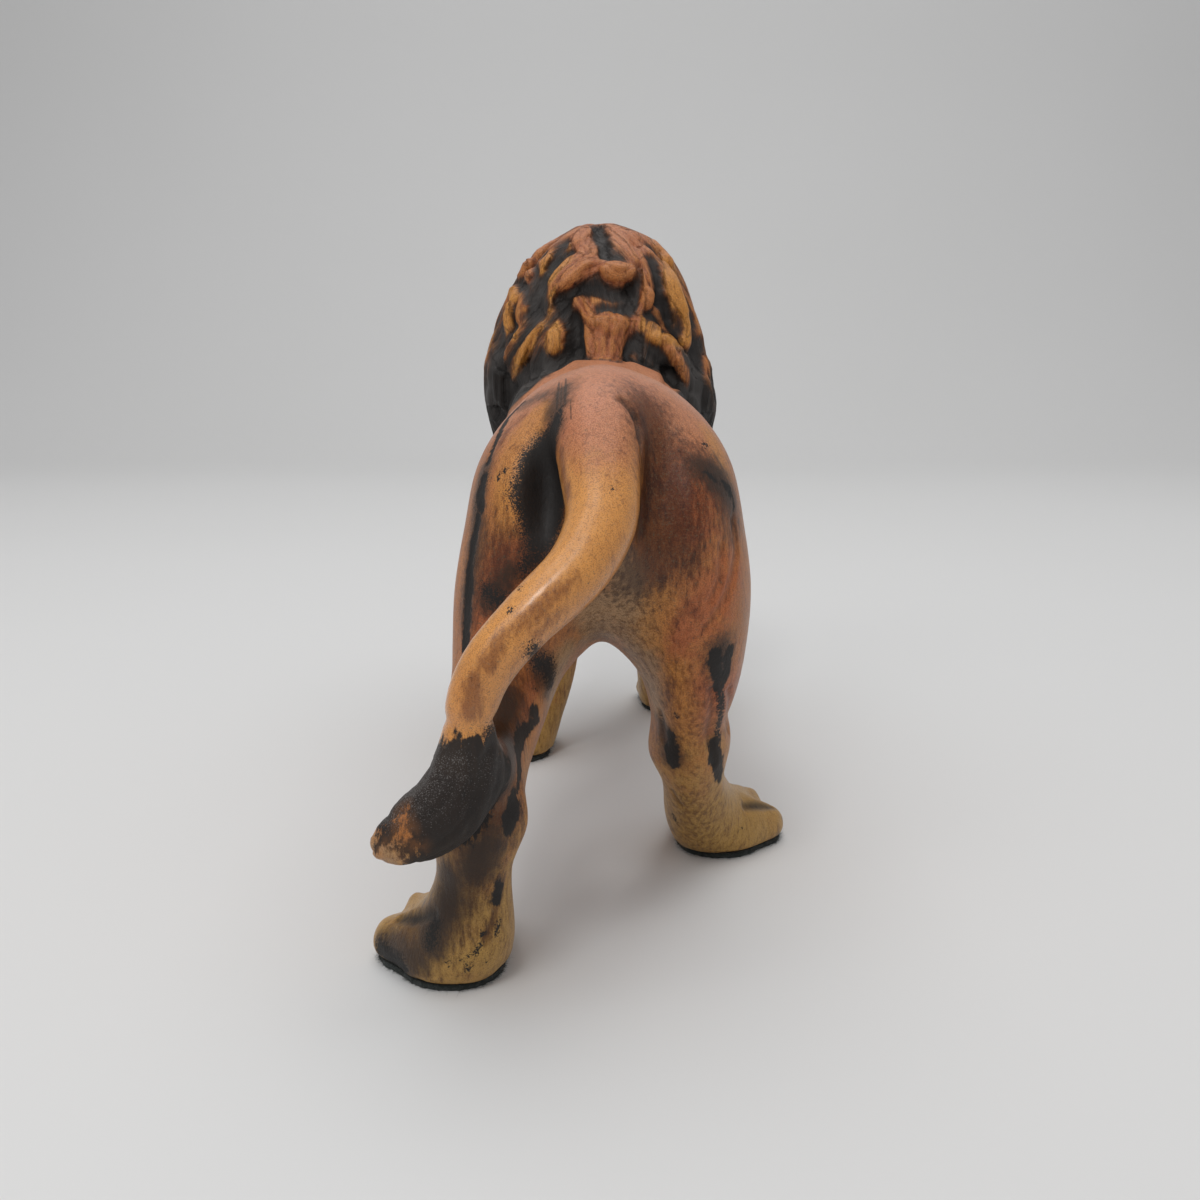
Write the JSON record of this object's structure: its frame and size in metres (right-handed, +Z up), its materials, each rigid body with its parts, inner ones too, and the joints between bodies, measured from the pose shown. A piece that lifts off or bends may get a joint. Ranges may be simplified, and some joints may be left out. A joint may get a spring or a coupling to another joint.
{
  "type": "bisque lion figurine",
  "caption": "Hollow-cast, painted bisque figurine of a walking male lion with a full carved mane, its tail swung over to a hind leg, on felt pads",
  "frame": {"origin": "on the floor, under the middle of the figurine's outline", "axes": "+Z up; the lion looks along -Y; its left side is +X"},
  "size_m": [0.0924, 0.2468, 0.1601],
  "materials": {
    "bisque": "matt to satin hand-painted bisque, ochre and orange-brown with charcoal in the hollows",
    "felt": "dark green-black felt"
  },
  "bodies": {
    "root": {"lion": "bisque", "felt_pad_hind_left": "felt", "felt_pad_hind_right": "felt", "felt_pad_front_left": "felt", "felt_pad_front_right": "felt"}
  },
  "joints": []
}
